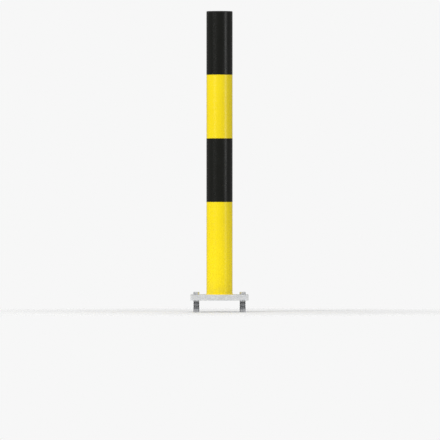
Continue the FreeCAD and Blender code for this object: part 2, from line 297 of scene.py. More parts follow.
class Mat(Nodes):
    """A material with one Principled shader; colour, roughness and bumps build up in layers."""

    def __init__(self, name):
        self.material = bpy.data.materials.new(name)
        self.material.use_nodes = True
        super().__init__(self.material.node_tree)
        self.tree.nodes.clear()
        self.surface = self.node("OutputMaterial").inputs["Surface"]
        self.shader = self.node("BsdfPrincipled")
        self.put(self.surface, self.shader.outputs[0])
        self.place = self.node("TexCoord").outputs["Object"]
        self.colour = self.roughness = self.normal = None

    # layers
    def tint(self, mask, colour, share=None):
        self.colour = self.mix(self.part(mask, share), self.colour, colour)

    def roughen(self, mask, value, share=None):
        self.roughness = self.blend(self.part(mask, share), self.roughness, value)

    def bump(self, height, strength, distance):
        sockets = {"Strength": strength, "Distance": distance, "Height": height}
        if self.normal is not None:
            sockets["Normal"] = self.normal
        self.normal = self.node("Bump", sockets).outputs[0]

    def dent(self, mask, strength, distance):
        self.bump(self.mul(mask, -1.0), strength, distance)

    def finish(self, values=None):
        """Joins the layers and the other shader values to the shader."""
        layers = {
            "Base Color": self.colour, "Roughness": self.roughness, "Normal": self.normal,
        }
        for key, value in {**layers, **(values or {})}.items():
            self.put(self.shader.inputs[key], value)
        return self.material

    # arithmetic
    def math(self, operation, first, second=0.0):
        sockets = {0: first, 1: second, 2: 0.0}
        return self.node("Math", sockets, operation=operation).outputs[0]

    def add(self, first, second):
        return self.math("ADD", first, second)

    def sub(self, first, second):
        return self.math("SUBTRACT", first, second)

    def mul(self, first, *others):
        for other in others:
            first = self.math("MULTIPLY", first, other)
        return first

    def max(self, first, *others):
        for other in others:
            first = self.math("MAXIMUM", first, other)
        return first

    def part(self, mask, share=None):
        """The mask weakened to a share of itself."""
        return mask if share is None else self.mul(mask, share)

    def hypot(self, first, second):
        return self.math("SQRT", self.add(self.mul(first, first), self.mul(second, second)))

    def scaled(self, factors, vector):
        return self.node("VectorMath", {0: vector, 1: factors}, operation="MULTIPLY").outputs[0]

    def vector(self, x, y, z):
        return self.node("CombineXYZ", {0: x, 1: y, 2: z}).outputs[0]

    def mix(self, share, first, second):
        """Mixes two colours."""
        sockets = {0: share, 6: first, 7: second}
        return self.node("Mix", sockets, data_type="RGBA", blend_type="MIX").outputs[2]

    def channels(self, colour):
        return self.node("SeparateColor", {0: colour}).outputs

    # patterns
    def noise(self, scale=1.0, detail=2.0, rough=0.5, distortion=0.0, stretch=None, over=None):
        """Noise over a vector, by default the object's own; stretch scales it per axis."""
        vector = over or self.place
        if stretch:
            vector = self.scaled(stretch, vector)
        return self.node("TexNoise", {
            "Vector": vector, "Scale": scale, "Detail": detail, "Roughness": rough,
            "Distortion": distortion,
        }).outputs[0]

    def patches(self, start, end, low=0.0, high=1.0, linear=False, **grain):
        """Noise put through a ramp."""
        return self.ramp(self.noise(**grain), start, end, low, high, linear)

    def uneven(self, low, high, **grain):
        """A value that wanders between low and high."""
        return self.patches(start=0.3, end=0.7, low=low, high=high, linear=True, **grain)

    def cells(self, scale, output, over=None):
        sockets = {"Vector": over or self.place, "Scale": scale}
        return self.node("TexVoronoi", sockets).outputs[output]

    # places
    @cached_property
    def axes(self):
        return self.node("SeparateXYZ", {0: self.place}).outputs

    def edge(self):
        """The wear stored in the mesh."""
        return self.node("Attribute", attribute_name="edge").outputs["Fac"]

    def up(self):
        """The face's upward share, from its true normal."""
        normal = self.node("NewGeometry").outputs["True Normal"]
        return self.node("SeparateXYZ", {0: normal}).outputs[2]

    def unrolled(self):
        """The post's unrolled surface: arc length from the front, height, nothing."""
        x, y, z = self.axes
        turn = self.math("ARCTAN2", x, self.mul(y, -1.0))
        return self.vector(self.mul(turn, POST_RADIUS / MM), z, 0.0)

    def anchor_radius(self):
        """Distance from the nearest anchor's axis, in metres."""
        x, y, _ = self.axes
        beside = self.sub(self.math("ABSOLUTE", x), ANCHOR_AT / MM)
        along = self.sub(self.math("ABSOLUTE", y), ANCHOR_AT / MM)
        return self.hypot(beside, along)


# ---------------------------------------------------------------- materials
# Places and bump distances are in metres, colours are linear RGB.
def powder_coat():
    """Traffic yellow powder coat: fine orange peel, faint handling marks, dust low down."""
    mat = Mat("yellow_powder_coat")
    skin = mat.unrolled()
    mat.colour = mat.mix(
        mat.patches(scale=9.0, detail=3.0, start=0.35, end=0.65),
        (0.975, 0.765, 0.0022), (0.950, 0.735, 0.0022),
    )
    # faint streaks run down the coat
    streak = mat.patches(
        stretch=(170.0, 5.0, 1.0), over=skin, detail=4.0, rough=0.6, start=0.54, end=0.74
    )
    mat.tint(streak, share=0.09, colour=(0.78, 0.58, 0.008))
    # splash marks gather low down
    low = mat.fall(mat.axes[2], start=0.020, end=0.085)
    speck = mat.patches(scale=620.0, detail=3.0, rough=0.65, start=0.56, end=0.70)
    cloud = mat.patches(scale=45.0, detail=4.0, rough=0.6, start=0.40, end=0.75)
    marks = mat.add(mat.part(cloud, share=0.22), mat.part(speck, share=0.30))
    dust = mat.part(mat.mul(low, marks), share=0.62)
    mat.tint(dust, colour=(0.46, 0.36, 0.16))
    # thin scuffs round the post, in a few areas
    line = mat.patches(
        stretch=(26.0, 900.0, 1.0), over=skin, detail=5.0, rough=0.7, distortion=0.6,
        start=0.690, end=0.735,
    )
    scuff = mat.mul(line, mat.patches(scale=9.0, start=0.50, end=0.62))
    mat.tint(scuff, share=0.25, colour=(0.62, 0.47, 0.06))
    # chipped to the zinc at a few places along worn edges
    broken = mat.patches(scale=310.0, detail=3.0, rough=0.6, start=0.60, end=0.64)
    chip = mat.mul(mat.edge(), broken)
    mat.tint(chip, colour=(0.50, 0.51, 0.50))
    mat.roughness = mat.uneven(scale=60.0, detail=3.0, low=0.22, high=0.30)
    mat.roughen(dust, value=0.75)
    mat.roughen(scuff, value=0.52)
    # orange peel, its fine grain, then the marks
    mat.bump(mat.noise(scale=430.0, rough=0.45), strength=0.18, distance=0.00050)
    mat.bump(mat.noise(scale=1500.0, detail=1.0), strength=0.06, distance=0.00012)
    mat.dent(scuff, strength=0.25, distance=0.00008)
    mat.dent(chip, strength=0.5, distance=0.00012)
    return mat.finish({"IOR": 1.5})


def black_film():
    """Satin vinyl: the coat's texture shows through, a few bubbles and hairline scratches."""
    mat = Mat("black_film")
    skin = mat.unrolled()
    mat.colour = mat.mix(
        mat.patches(scale=11.0, detail=3.0, start=0.3, end=0.7),
        (0.0046, 0.0049, 0.0034), (0.0060, 0.0063, 0.0046),
    )
    line = mat.patches(
        stretch=(45.0, 1400.0, 1.0), over=skin, detail=4.0, rough=0.7, distortion=0.8,
        start=0.700, end=0.740,
    )
    scratch = mat.mul(line, mat.patches(scale=13.0, start=0.48, end=0.60))
    mat.tint(scratch, share=0.35, colour=(0.050, 0.050, 0.046))
    haze = mat.patches(
        stretch=(120.0, 4.0, 1.0), over=skin, detail=4.0, rough=0.6, start=0.52, end=0.78
    )
    mat.tint(haze, share=0.25, colour=(0.016, 0.016, 0.014))
    mat.tint(mat.edge(), share=0.50, colour=(0.030, 0.029, 0.026))
    mat.roughness = mat.uneven(scale=45.0, detail=3.0, low=0.24, high=0.33)
    mat.roughen(scratch, value=0.6)
    mat.roughen(haze, share=0.5, value=0.52)
    spot = mat.fall(mat.cells(scale=38.0, output="Distance"), start=0.10, end=0.22)
    bubble = mat.mul(spot, mat.patches(scale=17.0, detail=1.0, start=0.62, end=0.66))
    mat.bump(mat.noise(scale=430.0, rough=0.45), strength=0.12, distance=0.00038)
    mat.bump(bubble, strength=0.5, distance=0.00025)
    mat.dent(scratch, strength=0.3, distance=0.00005)
    return mat.finish({"IOR": 1.46, "Specular IOR Level": 0.38})


def black_plastic():
    """Moulded polyethylene: spark-eroded grain, sun-dulled on top, burnished rim."""
    mat = Mat("black_plastic")
    mat.colour = mat.mix(
        mat.patches(scale=40.0, detail=4.0, start=0.3, end=0.7),
        (0.0070, 0.0071, 0.0062), (0.0100, 0.0100, 0.0090),
    )
    top = mat.mul(
        mat.ramp(mat.up(), start=0.6, end=0.98),
        mat.patches(scale=60.0, detail=4.0, rough=0.6, start=0.25, end=0.75, low=0.4),
    )
    mat.tint(top, share=0.50, colour=(0.026, 0.026, 0.024))
    dust = mat.mul(
        mat.ramp(mat.up(), start=0.8, end=1.0),
        mat.patches(scale=650.0, detail=3.0, rough=0.7, start=0.60, end=0.74),
    )
    mat.tint(dust, share=0.35, colour=(0.16, 0.15, 0.13))
    mat.roughness = mat.uneven(scale=300.0, low=0.50, high=0.62)
    mat.roughen(mat.edge(), value=0.36)
    mat.bump(mat.noise(scale=2600.0, rough=0.6), strength=0.45, distance=0.00010)
    mat.bump(mat.noise(scale=180.0), strength=0.12, distance=0.00025)
    return mat.finish({"IOR": 1.5, "Specular IOR Level": 0.42})


def galvanised():
    """Hot-dip zinc: feathered crystals, runs on the sides, dirt and painted shade by bolts and
    weld, overspray.
    """
    mat = Mat("galvanised_steel")
    x, y, z = mat.axes
    crystals = 118.0  # crystals per metre
    brightest = (0.840, 0.846, 0.852)
    # a small shift makes the crystals' borders ragged
    lean = mat.sub(mat.noise(scale=420.0, rough=0.6), 0.5)
    shift = (0.0026, -0.0022, 0.0020)
    bent = mat.vector(*[
        mat.add(axis, mat.mul(lean, amount)) for axis, amount in zip((x, y, z), shift)
    ])
    centre = mat.cells(scale=crystals, output="Position", over=bent)
    bright, dull, turn = mat.channels(mat.cells(scale=crystals, output="Color", over=bent))
    # each crystal's feathers run their own way
    turned = mat.node("VectorRotate", {
        "Axis": (0.30, 0.22, 0.93),
        "Vector": mat.place,
        "Center": mat.scaled((1 / crystals,) * 3, centre),
        "Angle": mat.mul(turn, 6.283),
    }, rotation_type="AXIS_ANGLE").outputs[0]
    feather = mat.patches(
        stretch=(1250.0, 105.0, 240.0), over=turned, detail=3.0, rough=0.55, start=0.36, end=0.66
    )
    mat.colour = mat.mix(bright, (0.630, 0.644, 0.657), (0.760, 0.769, 0.780))
    small = mat.channels(mat.cells(scale=330.0, output="Color", over=bent))[0]
    mat.tint(small, share=0.20, colour=brightest)
    mat.tint(feather, share=0.22, colour=brightest)
    patina = mat.patches(scale=17.0, detail=4.0, rough=0.6, start=0.42, end=0.72)
    mat.tint(patina, share=0.30, colour=(0.70, 0.70, 0.69))
    # dirt and painted shade: darker rings by the weld's toe and round the washers, dirt grains
    # elsewhere
    post_radius = mat.hypot(x, y)
    anchor_radius = mat.anchor_radius()
    grain = mat.noise(scale=230.0, detail=4.0, rough=0.7)
    toe = mat.mul(
        mat.fall(post_radius, start=0.0485, end=0.0575), mat.ramp(grain, start=0.36, end=0.62)
    )
    seat = mat.mul(
        mat.fall(anchor_radius, start=0.0098, end=0.0132), mat.ramp(grain, start=0.34, end=0.60)
    )
    loose = mat.part(
        mat.patches(scale=900.0, detail=3.0, rough=0.7, start=0.64, end=0.74), share=0.5
    )
    flat = mat.ramp(mat.up(), start=0.5, end=0.9)
    soil_and_painted_shade = mat.mul(mat.max(toe, seat, loose), flat)
    # painted shade: the toe and washer rings darken the plate where the parts meet, mixed with
    # dirt
    mat.tint(soil_and_painted_shade, share=0.42, colour=(0.36, 0.33, 0.285))
    # overspray: a ragged yellow border round the weld and a thin mist outside it
    spread = 0.0038
    ragged = mat.mul(mat.sub(mat.noise(scale=210.0, detail=3.0, rough=0.65), 0.5), spread)
    halo = mat.fall(mat.add(post_radius, ragged), start=0.0484, end=0.0495)
    mist = mat.mul(
        mat.fall(post_radius, start=0.048, end=0.057),
        mat.patches(scale=1500.0, rough=0.7, start=0.60, end=0.70),
    )
    spray = mat.max(mat.part(halo, share=0.9), mat.part(mist, share=0.6))
    over = mat.mul(spray, mat.ramp(z, start=0.0190, end=0.0196))
    mat.tint(over, colour=(0.90, 0.68, 0.008))
    # the dirt and painted shade also make the zinc less metallic
    metallic = mat.blend(
        mat.max(over, mat.part(soil_and_painted_shade, share=0.6)),
        mat.ramp(dull, start=0.0, end=1.0, low=0.30, high=0.48, linear=True),
        0.0,
    )
    mat.roughness = mat.add(
        mat.part(dull, share=0.14), mat.uneven(scale=240.0, detail=3.0, low=0.34, high=0.44)
    )
    mat.roughen(soil_and_painted_shade, share=0.8, value=0.8)
    mat.roughen(over, value=0.36)
    mat.bump(feather, strength=0.05, distance=0.00006)
    mat.bump(mat.noise(scale=130.0, detail=3.0), strength=0.18, distance=0.00040)
    # upright runs on the plate's sides
    side = mat.fall(mat.math("ABSOLUTE", mat.up()), start=0.2, end=0.5)
    drag = mat.noise(stretch=(1150.0, 1150.0, 55.0), detail=3.0, rough=0.55)
    mat.bump(mat.mul(drag, side), strength=0.30, distance=0.00018)
    return mat.finish({"Metallic": metallic})


def zinc_plate():
    """Bright zinc: cool sheen with a trace of colour, dirt and painted shade in the roots,
    polished corners.
    """
    mat = Mat("zinc_plated_steel")
    z = mat.axes[2]
    mat.colour = mat.mix(
        mat.patches(scale=120.0, detail=3.0, start=0.3, end=0.7),
        (0.76, 0.775, 0.795), (0.85, 0.855, 0.86),
    )
    warm = mat.patches(scale=85.0, distortion=0.8, start=0.52, end=0.68)
    mat.tint(warm, share=0.24, colour=(0.82, 0.77, 0.62))
    cool = mat.patches(
        scale=97.0, distortion=0.6, stretch=(1.0, 1.3, 0.7), start=0.55, end=0.70
    )
    mat.tint(cool, share=0.20, colour=(0.66, 0.73, 0.86))
    radius = mat.anchor_radius()
    # the collar and the wedge nut are duller than bolt and washer
    collar = mat.mul(
        mat.ramp(z, start=-0.0042, end=-0.0038), mat.fall(z, start=0.0004, end=0.0010)
    )
    nut = mat.fall(z, start=-0.0190, end=-0.0186)
    dull = mat.mul(mat.max(collar, nut), mat.ramp(radius, start=0.00600, end=0.00604))
    mat.tint(dull, share=0.72, colour=(0.40, 0.405, 0.415))
    # dirt and painted shade in the thread's roots and in the joint at the washer's foot
    root = mat.mul(
        mat.fall(radius, start=0.00515, end=0.00575), mat.fall(z, start=0.0206, end=0.0214)
    )
    under = mat.mul(
        mat.fall(z, start=0.0210, end=0.0222), mat.ramp(z, start=0.0195, end=0.0200)
    )
    soil_and_painted_shade = mat.mul(
        mat.max(root, mat.part(under, share=0.8)),
        mat.patches(scale=700.0, detail=3.0, rough=0.7, start=0.25, end=0.60, low=0.5),
    )
    # painted shade: the thread's roots and the washer's foot are darkened, mixed with dirt
    mat.tint(soil_and_painted_shade, share=0.62, colour=(0.20, 0.185, 0.165))
    # brown flecks in a few areas
    fleck = mat.mul(
        mat.patches(scale=900.0, detail=4.0, rough=0.75, start=0.665, end=0.70),
        mat.patches(scale=140.0, start=0.52, end=0.62),
    )
    mat.tint(fleck, share=0.55, colour=(0.30, 0.15, 0.07))
    edge = mat.edge()
    edge_share, dull_edge_share = 0.6, 0.25
    mat.tint(
        edge, share=mat.blend(dull, edge_share, dull_edge_share), colour=(0.92, 0.925, 0.93)
    )
    # the dirt and painted shade also make the zinc less metallic
    clean_metallic, dirt_and_shade_metallic = 0.90, 0.2
    metallic = mat.blend(mat.part(soil_and_painted_shade, share=0.8), clean_metallic, dirt_and_shade_metallic)
    mat.roughness = mat.uneven(scale=420.0, detail=3.0, low=0.36, high=0.48)
    mat.roughen(soil_and_painted_shade, share=0.8, value=0.66)
    mat.roughen(edge, share=0.7, value=0.28)
    mat.roughen(dull, share=0.7, value=0.58)
    mat.bump(mat.noise(scale=1900.0, rough=0.6), strength=0.14, distance=0.00006)
    mat.bump(mat.noise(scale=260.0), strength=0.12, distance=0.00014)
    return mat.finish({"Metallic": metallic})


def shield_steel():
    """Pressed steel: dull zinc, painted shade in the grooves, bright on the ribs, grey dust."""
    mat = Mat("shield_steel")
    mat.colour = mat.mix(
        mat.patches(scale=150.0, detail=3.0, start=0.3, end=0.7),
        (0.185, 0.19, 0.20), (0.26, 0.268, 0.28),
    )
    # painted shade: the grooves are darkened to near black
    deep = mat.fall(mat.anchor_radius(), start=0.0090, end=0.0098)
    mat.tint(deep, share=0.85, colour=(0.026, 0.026, 0.026))
    edge = mat.edge()
    mat.tint(edge, share=0.55, colour=(0.56, 0.57, 0.58))
    grit = mat.mul(
        mat.patches(scale=800.0, detail=4.0, rough=0.7, start=0.56, end=0.70),
        mat.patches(scale=110.0, start=0.45, end=0.65),
    )
    mat.tint(grit, share=0.40, colour=(0.46, 0.44, 0.40))
    # grit and the painted groove shade make the steel less metallic
    clean_metallic, dirt_and_shade_metallic = 0.85, 0.1
    metallic = mat.blend(
        mat.max(grit, mat.part(deep, share=0.5)), clean_metallic, dirt_and_shade_metallic
    )
    mat.roughness = mat.uneven(scale=350.0, detail=3.0, low=0.38, high=0.52)
    mat.roughen(grit, value=0.85)
    mat.roughen(edge, share=0.6, value=0.28)
    mat.bump(mat.noise(scale=1300.0, detail=3.0, rough=0.6), strength=0.22, distance=0.00008)
    mat.bump(grit, strength=0.4, distance=0.00010)
    return mat.finish({"Metallic": metallic})


# by slot
MATERIALS = {
    "yellow_powder_coat": powder_coat(),
    "black_film": black_film(),
    "black_plastic": black_plastic(),
    "galvanised_steel": galvanised(),
    "zinc_plated_steel": zinc_plate(),
    "shield_steel": shield_steel(),
}


# ---------------------------------------------------------------- the post
PLATE_LO, PLATE_HI = box_mm("base_plate")
TUBE_LO, TUBE_HI = box_mm("post_tube")
PLATE_TOP = PLATE_HI.z
BORE = 41.0  # inner radius of the tube
POST_SEGMENTS = 288

WELD_LEG = 3.5
WELD_SCALE = 2.9  # length of one weld scale
WELD_START = math.radians(96)
WELD_SINK = 0.03  # depth of the bead's two legs inside tube and plate

FILM_THICK = 0.2
FILM_GAP = 0.02  # between film and tube
FILM_CORNER = 5.0
FILM_START = math.radians(83.0)
FILM_LAP = math.radians(14.0)
FILM_EASE = math.radians(1.6)  # turn over which the film climbs onto its start

PLUG_RADIUS = 39.4
PLUG_WALL = 2.4
FIN_RADIUS = BORE - 0.04
WEB_HALF = 1.0
WEB_BEVEL = 0.3


def build_tube():
    outline = soften([
        (BORE, TUBE_LO.z, 0.3),
        (POST_RADIUS, TUBE_LO.z, 0.3),
        (POST_RADIUS, TUBE_HI.z, 0.35),
        (BORE, TUBE_HI.z, 0.4),
    ], loop=True, support=2.5)
    # extra rows, so that neither wall is one face from end to end
    bays = 25
    full = []
    for here, there in zip(outline, outline[1:] + outline[:1]):
        full.append(here)
        rise = there[1] - here[1]
        if abs(rise) > 100:
            for k in range(1, bays):
                share = k / bays
                radius = here[0] + (there[0] - here[0]) * share
                full.append((radius, here[1] + rise * share, 0.0))
    shape = Shape()
    shape.lathe(full, POST_SEGMENTS, loop=True)
    shape.build("coated_post_tube", "bollard", "post_tube", "yellow_powder_coat")


def build_weld():
    """One run of fillet weld with overlapping scales and an uneven toe, lapped at the back."""
    shape = Shape()
    angles = full_turn(864)
    across = 12
    scales = round(TAU * (POST_RADIUS + 1.5) / WELD_SCALE)
    wall, floor = POST_RADIUS - WELD_SINK, PLATE_TOP - WELD_SINK
    rows = []
    for k in range(across + 1):
        share = k / across  # from the toe on the plate to the toe on the tube
        slope = share * math.pi / 2
        row = []
        for angle in angles:
            wobble = 0.13 * ripple(math.cos(angle) * 3.1, math.sin(angle) * 3.1, 0.4)
            size = WELD_LEG * (0.955 + wobble * 0.35)
            phase = ((angle - WELD_START) / TAU * scales + 1.1 * (share - 0.5) ** 2) % 1.0
            swell = math.sin(math.pi * min(1, max(0, share * 0.94 + 0.03)))
            ridge = (1 - abs(2 * phase - 1) ** 2.2) * 0.25 * swell
            lap = abs(((angle - WELD_START + math.pi) % TAU) - math.pi) * POST_RADIUS
            knob = 0.30 * smooth(1 - lap / 5.5)
            # between a straight chamfer and a quarter circle
            straight = Vector((size * (1 - share), size * share))
            arc = Vector((size * math.cos(slope), size * math.sin(slope)))
            face = straight.lerp(arc, 0.26)
            bulge = face.normalized() * ((ridge + knob) * math.sin(math.pi * share) ** 0.6)
            radius = max(wall + face.x + bulge.x, wall)
            row.append(shape.polar(radius, angle, max(floor + face.y + bulge.y, floor)))
        rows.append(row)
    rows.append(shape.ring(wall, floor, 0.0, angles))
    shape.skin(rows, loop=True)
    shape.build("weld_bead", "bollard", "foot_weld", "yellow_powder_coat", sharp=50)


def build_band(node, name):
    """Film wrapped once round the tube, its rounded free end lapped over its start."""
    low, high = box_mm(node)
    bottom, height = low.z, high.z - low.z
    shape = Shape()
    total = TAU + FILM_LAP
    steps = 312
    levels = [0.0, 0.12, 1.0, 6.0, *range(20, int(height) - 10, 20)]
    levels += [height - 6.0, height - 1.0, height - 0.12, height]
    outer, inner = [], []
    for i in range(steps + 1):
        turn = total * i / steps
        rise = FILM_THICK * smooth((turn - (TAU - FILM_EASE)) / FILM_EASE)
        rest = (total - turn) * POST_RADIUS  # length left to the free end
        cut = 0.0
        if rest < FILM_CORNER:
            chord = FILM_CORNER**2 - (FILM_CORNER - rest) ** 2
            cut = FILM_CORNER - math.sqrt(max(0.0, chord))
        inside = POST_RADIUS + FILM_GAP + rise
        outer_column, inner_column = [], []
        for level in levels:
            z = bottom + min(max(level, cut), height - cut)
            near = min(z - bottom, high.z - z)
            wear = 1.0 if near < 0.5 or rest < 0.6 else 0.0
            outside = inside + FILM_THICK - (0.05 if near < 0.05 else 0.0)
            outer_column.append(shape.polar(outside, FILM_START + turn, z, wear))
            inner_column.append(shape.polar(inside, FILM_START + turn, z, wear))
        outer.append(outer_column)
        inner.append(inner_column)
    shape.skin(outer, around=False)
    shape.skin(inner[::-1], around=False)
    # the bottom and top edges, then the two ends
    for level, (first, second) in ((0, (inner, outer)), (-1, (outer, inner))):
        shape.strip(
            [column[level] for column in first], [column[level] for column in second], False
        )
    shape.strip(inner[0], outer[0], False)
    shape.strip(outer[-1], inner[-1], False)
    shape.build(name, "bollard", node, "black_film", merge=5e-7)


def build_web(low, high, turn):
    """An upright plate across the inside of the plug, with broken edges."""
    shape = Shape()
    cos, sin = math.cos(turn), math.sin(turn)
    reach = PLUG_RADIUS - PLUG_WALL + 0.3

    def level(inset, z):
        row = []
        for side_x, side_y in ((-1, -1), (1, -1), (1, 1), (-1, 1)):
            offsets = ((0, WEB_BEVEL), (WEB_BEVEL, 0))
            for off_x, off_y in offsets if side_x * side_y > 0 else offsets[::-1]:
                x = side_x * (reach - (inset + off_x))
                y = side_y * (WEB_HALF - (inset + off_y))
                row.append(shape.point(x * cos - y * sin, x * sin + y * cos, z, 0.6))
        return row

    rows = [
        level(WEB_BEVEL, low), level(0, low + WEB_BEVEL),
        level(0, high - WEB_BEVEL), level(WEB_BEVEL, high),
    ]
    shape.skin(rows)
    shape.faces.append(tuple(reversed(rows[0])))
    shape.faces.append(tuple(rows[-1]))
    return shape


def build_cap():
    """Plug-in cap: flange flush with the tube, ribbed plug below with a cross web inside."""
    low, high = box_mm("post_cap")
    top, seat, foot = high.z, TUBE_HI.z, low.z
    # radius, height, corner radius
    points = [
        (0.0, top - 0.35, 0), (1.6, top - 0.35, 0.15), (2.1, top - 0.05, 0.2),
        (POST_RADIUS - 6.0, top - 0.05, 0.6), (POST_RADIUS - 4.6, top, 0.6),
        (POST_RADIUS, top, 1.2), (POST_RADIUS, seat, 0.12), (PLUG_RADIUS, seat, 0.4),
    ]
    for depth in (5.0, 12.0, 19.0):
        z = seat - depth
        points += [
            (PLUG_RADIUS, z, 0.15), (FIN_RADIUS, z - 0.2, 0.2),
            (FIN_RADIUS, z - 1.0, 0.2), (PLUG_RADIUS, z - 1.3, 0.15),
        ]
    points += [
        (PLUG_RADIUS, foot + 2.0, 0.4), (PLUG_RADIUS - 1.0, foot, 0.3),
        (PLUG_RADIUS - PLUG_WALL, foot, 0.3), (PLUG_RADIUS - PLUG_WALL, seat, 0.8),
        (0.0, seat, 0),
    ]
    shape = Shape()
    shape.lathe(soften(points, support=1.0), POST_SEGMENTS)
    webs = [build_web(foot + 4.0, seat + 0.3, turn) for turn in (0.0, math.pi / 2)]
    shape.build("post_end_cap", "bollard", "post_cap", "black_plastic", fuse=webs)


# --------------------------------------------------------------- base plate
PLATE_BEVEL = 1.0
PLATE_CORNER = 6.0
PLATE_FLAT = PLATE_HI.x - PLATE_BEVEL  # half width of the flat faces
PLATE_KNEE = PLATE_FLAT - (PLATE_CORNER - PLATE_BEVEL)  # where their round corners begin
CELL_CUTS = (-PLATE_FLAT, -60.0, -25.0, 25.0, 60.0, PLATE_FLAT)  # cell borders along X and Y
CELLS = len(CELL_CUTS) - 1
CELL_STEPS = 16
# hole profiles from top to bottom: radius, height, wear
CENTRE_HOLE = (
    (15.0, PLATE_TOP, 1), (15.0, 10.0, 0), (15.0, 0.45, 0.6), (15.13, 0.13, 1), (15.45, 0.0, 1),
)
ANCHOR_HOLE = (
    (7.45, PLATE_TOP, 1), (7.13, PLATE_TOP - 0.13, 1), (7.0, PLATE_TOP - 0.45, 1),
    (7.0, 10.0, 0), (7.0, 1.9, 0), (7.1, 1.6, 1), (7.4, 1.5, 1), (11.7, 1.5, 0),
    (12.0, 1.4, 0), (12.0, 0.4, 0.6), (12.1, 0.1, 1), (12.3, 0.0, 1),
)


def corner_centre(x, y):
    """Centre of the round corner that the point belongs to, if any."""
    if abs(x) > PLATE_KNEE and abs(y) > PLATE_KNEE:
        return math.copysign(PLATE_KNEE, x), math.copysign(PLATE_KNEE, y)
    return None


def to_rim(x, y):
    """Pulls the flat face's square corner onto its radius."""
    centre = corner_centre(x, y)
    if not centre:
        return x, y
    away = Vector((x - centre[0], y - centre[1]))
    away = away.normalized() * max(abs(away.x), abs(away.y))
    return centre[0] + away.x, centre[1] + away.y


def plate_wave(x, y, z, amount):
    return abs(amount * ripple(x / 21.0, y / 21.0, z / 9.0))


def top_height(x, y):
    """The top's slight waves; it is flat by the washers, by the tube and at the rim."""
    calm = 1.0
    for hole_x in (-ANCHOR_AT, ANCHOR_AT):
        for hole_y in (-ANCHOR_AT, ANCHOR_AT):
            calm = min(calm, smooth((math.hypot(x - hole_x, y - hole_y) - 12.5) / 6))
    calm = min(calm, smooth((math.hypot(x, y) - 48.5) / 6))
    if corner_centre(x, y):
        beyond = math.hypot(abs(x) - PLATE_KNEE, abs(y) - PLATE_KNEE)
        inset = PLATE_CORNER - PLATE_BEVEL - beyond
    else:
        inset = PLATE_FLAT - max(abs(x), abs(y))
    return PLATE_TOP - plate_wave(x, y, PLATE_TOP, 0.055) * calm * smooth(inset / 2.5)


def cell_hole(i, j):
    """Centre and profile of the hole in a cell, if it has one."""
    if (i, j) == (2, 2):
        return 0.0, 0.0, CENTRE_HOLE
    if i in (0, 4) and j in (0, 4):
        hole_x = math.copysign(ANCHOR_AT, CELL_CUTS[i])
        return hole_x, math.copysign(ANCHOR_AT, CELL_CUTS[j]), ANCHOR_HOLE
    return None


def cell_border(x0, x1, y0, y1):
    """Points round a cell, from its low corner."""
    steps = [k / CELL_STEPS for k in range(CELL_STEPS)]
    wide, deep = x1 - x0, y1 - y0
    return (
        [(x0 + wide * share, y0) for share in steps]
        + [(x1, y0 + deep * share) for share in steps]
        + [(x1 - wide * share, y1) for share in steps]
        + [(x0, y1 - deep * share) for share in steps]
    )


def add_cell(shape, i, j, is_top):
    """One cell of the top or bottom face; the top's cells bring the walls of their holes."""
    x0, x1, y0, y1 = *CELL_CUTS[i:i + 2], *CELL_CUTS[j:j + 2]
    level = PLATE_TOP if is_top else PLATE_LO.z

    def height(x, y):
        return top_height(x, y) if is_top else level

    hole = cell_hole(i, j)
    if not hole:
        grid = []
        for across in range(CELL_STEPS + 1):
            row = []
            for along in range(CELL_STEPS + 1):
                x = x0 + (x1 - x0) * along / CELL_STEPS
                y = y0 + (y1 - y0) * across / CELL_STEPS
                row.append(shape.point(x, y, height(x, y)))
            grid.append(row)
        shape.skin(grid, around=False)
        return

    hole_x, hole_y, profile = hole
    hole_radius = profile[0 if is_top else -1][0]
    border = [to_rim(*place) for place in cell_border(x0, x1, y0, y1)]
    angles = [math.atan2(y - hole_y, x - hole_x) for x, y in border]
    layers = 9
    rows = []
    for k in range(layers + 1):
        share = (k / layers) ** 1.25
        row = []
        for (x, y), angle in zip(border, angles):
            lip_x = hole_x + hole_radius * math.cos(angle)
            lip_y = hole_y + hole_radius * math.sin(angle)
            at_x, at_y = lip_x + (x - lip_x) * share, lip_y + (y - lip_y) * share
            z = level if k == 0 else height(at_x, at_y)
            row.append(shape.point(at_x, at_y, z, 1.0 if k == 0 else 0.0))
        rows.append(row)
    shape.skin(rows)
    if is_top:
        shape.skin([
            [
                shape.point(
                    hole_x + radius * math.cos(angle), hole_y + radius * math.sin(angle), z, wear
                )
                for angle in angles
            ]
            for radius, z, wear in profile
        ])


def rim_loop():
    """Points of the flat face's outline, each with its outward direction."""
    flat = PLATE_FLAT
    loop = []
    for side, outward in enumerate(((0, -1), (1, 0), (0, 1), (-1, 0))):
        for i in range(CELLS):
            for k in range(CELL_STEPS):
                along = CELL_CUTS[i] + (CELL_CUTS[i + 1] - CELL_CUTS[i]) * k / CELL_STEPS
                square = ((along, -flat), (flat, along), (-along, flat), (-flat, -along))[side]
                x, y = to_rim(*square)
                centre = corner_centre(*square)
                if centre:
                    normal = Vector((x - centre[0], y - centre[1])).normalized()
                else:
                    normal = Vector(outward)
                loop.append((x, y, normal))
    return loop


def rim_profile():
    """The rim's section from top to bottom: distance out, height, wear."""
    top, bottom, bevel = PLATE_TOP, PLATE_LO.z, PLATE_BEVEL
    steps = [(0.0, top, 1.0)]
    for k in range(1, 5):
        angle = math.pi / 2 * k / 4
        steps.append((bevel * math.sin(angle), top - bevel * (1 - math.cos(angle)), 1.0))
    for k in range(1, 10):
        steps.append((bevel, top - bevel - (top - 2 * bevel) * k / 10, 0.0))
    for k in range(5):
        angle = math.pi / 2 * k / 4
        steps.append((bevel * math.cos(angle), bottom + bevel * (1 - math.sin(angle)), 1.0))
    return steps


